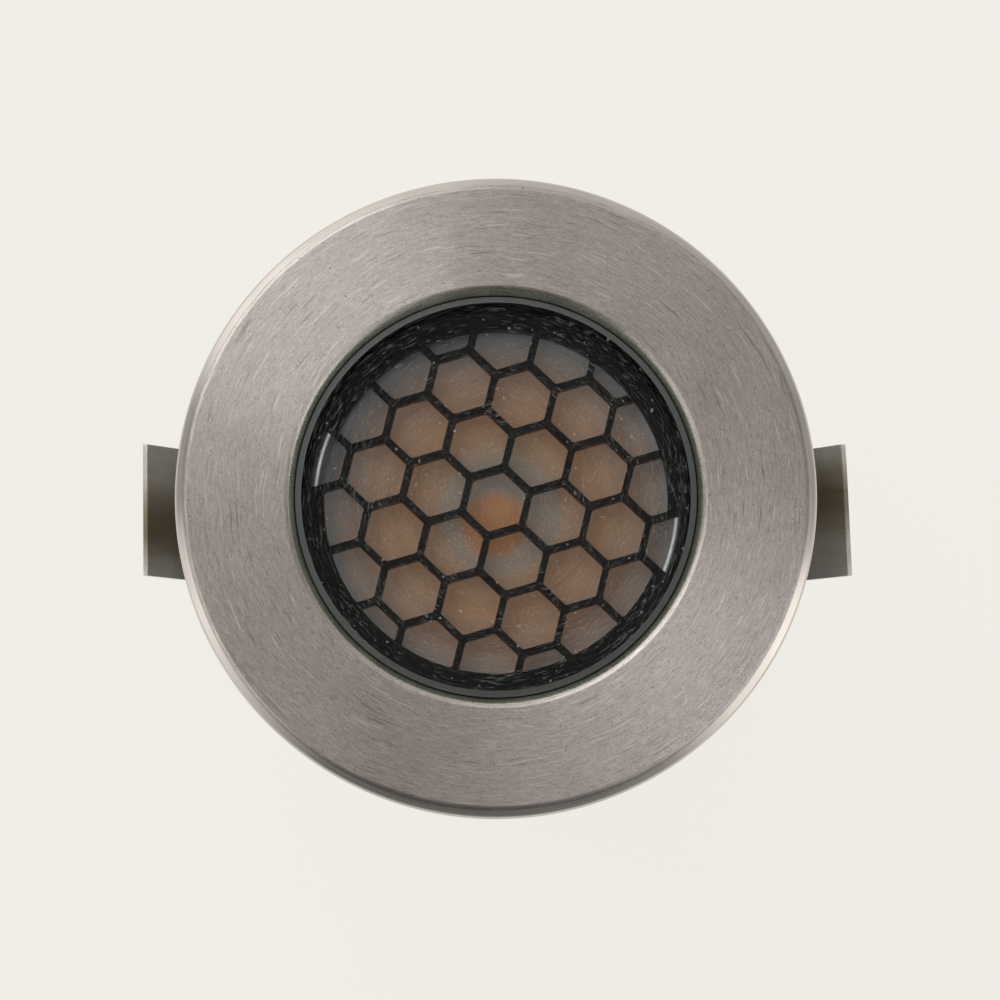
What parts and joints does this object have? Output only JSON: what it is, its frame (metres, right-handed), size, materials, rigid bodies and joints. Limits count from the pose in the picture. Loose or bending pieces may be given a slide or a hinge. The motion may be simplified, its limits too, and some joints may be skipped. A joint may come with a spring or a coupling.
{
  "type": "recessed in-ground light",
  "caption": "Round recessed ground or deck light with a flat steel bezel, a flush glass over a honeycomb louvre, and flat spring clips on a black can with a cable gland.",
  "frame": {"origin": "on the light's axis, on the surface of the deck, where the underside of the flange gasket rests", "axes": "+Z out of the glass, along the axis; +X towards the right-hand clip, as the face is seen with the picture's lower edge at -Y"},
  "size_m": [0.068, 0.06, 0.0741],
  "materials": {
    "bezel_steel": "brushed in circles",
    "spring_steel": "rolled strip",
    "gland_steel": "turned",
    "screw_steel": "plain",
    "toughened_glass": "clear, finely scratched",
    "frosted_optic": "frosted",
    "black_moulding": "satin",
    "black_silicone": "matt",
    "foam_rubber": "closed-cell foam",
    "pad_rubber": "soft pad",
    "black_anodised": "black anodised",
    "bare_aluminium": "turned",
    "board_mask": "white solder mask",
    "led_ceramic": "ceramic",
    "phosphor": "matt",
    "red_wire": "extruded",
    "black_wire": "extruded",
    "cup_plastic": "moulded",
    "board_laminate": "solder mask on laminate",
    "ferrite": "sintered",
    "capacitor_sleeve": "shrunk sleeve",
    "chip_plastic": "moulded",
    "terminal_plastic": "moulded"
  },
  "bodies": {
    "fixture": {"bezel": "bezel_steel", "flange_gasket": "foam_rubber", "glass_lens": "toughened_glass", "glass_seal": "black_silicone", "neck_o_ring": "black_silicone", "honeycomb_louvre": "black_moulding", "tir_optic": "frosted_optic", "optic_holder": "black_moulding", "led_phosphor": "phosphor", "led_base": "led_ceramic", "led_board": "board_mask", "board_screws": "screw_steel", "thermal_pad": "pad_rubber", "heat_carrier": "bare_aluminium", "carrier_screws": "screw_steel", "led_wire_plus": "red_wire", "led_wire_minus": "black_wire", "driver_cup": "cup_plastic", "driver_board": "board_laminate", "driver_inductor": "ferrite", "driver_capacitors": "capacitor_sleeve", "driver_chips": "chip_plastic", "input_terminal": "terminal_plastic", "housing": "black_anodised", "left_clip_foot": "spring_steel", "right_clip_foot": "spring_steel", "clip_screws": "screw_steel", "clip_washers": "screw_steel", "gland_washer": "black_silicone", "gland_body": "gland_steel", "gland_seal": "black_silicone", "gland_nut": "gland_steel"},
    "left_leaf": {"left_clip_leaf": "spring_steel"},
    "right_leaf": {"right_clip_leaf": "spring_steel"}
  },
  "joints": [
    {"name": "right_clip_flex", "type": "hinge", "parent": "fixture", "child": "right_leaf", "pos_m": [0.02061, 0, -0.03776], "axis": [0, -1, 0], "range_deg": [0, 21.5], "stiffness_Nm_per_rad": 2.7},
    {"name": "left_clip_flex", "type": "hinge", "parent": "fixture", "child": "left_leaf", "pos_m": [-0.02061, 0, -0.03776], "axis": [0, 1, 0], "range_deg": [0, 21.5], "stiffness_Nm_per_rad": 2.7}
  ]
}
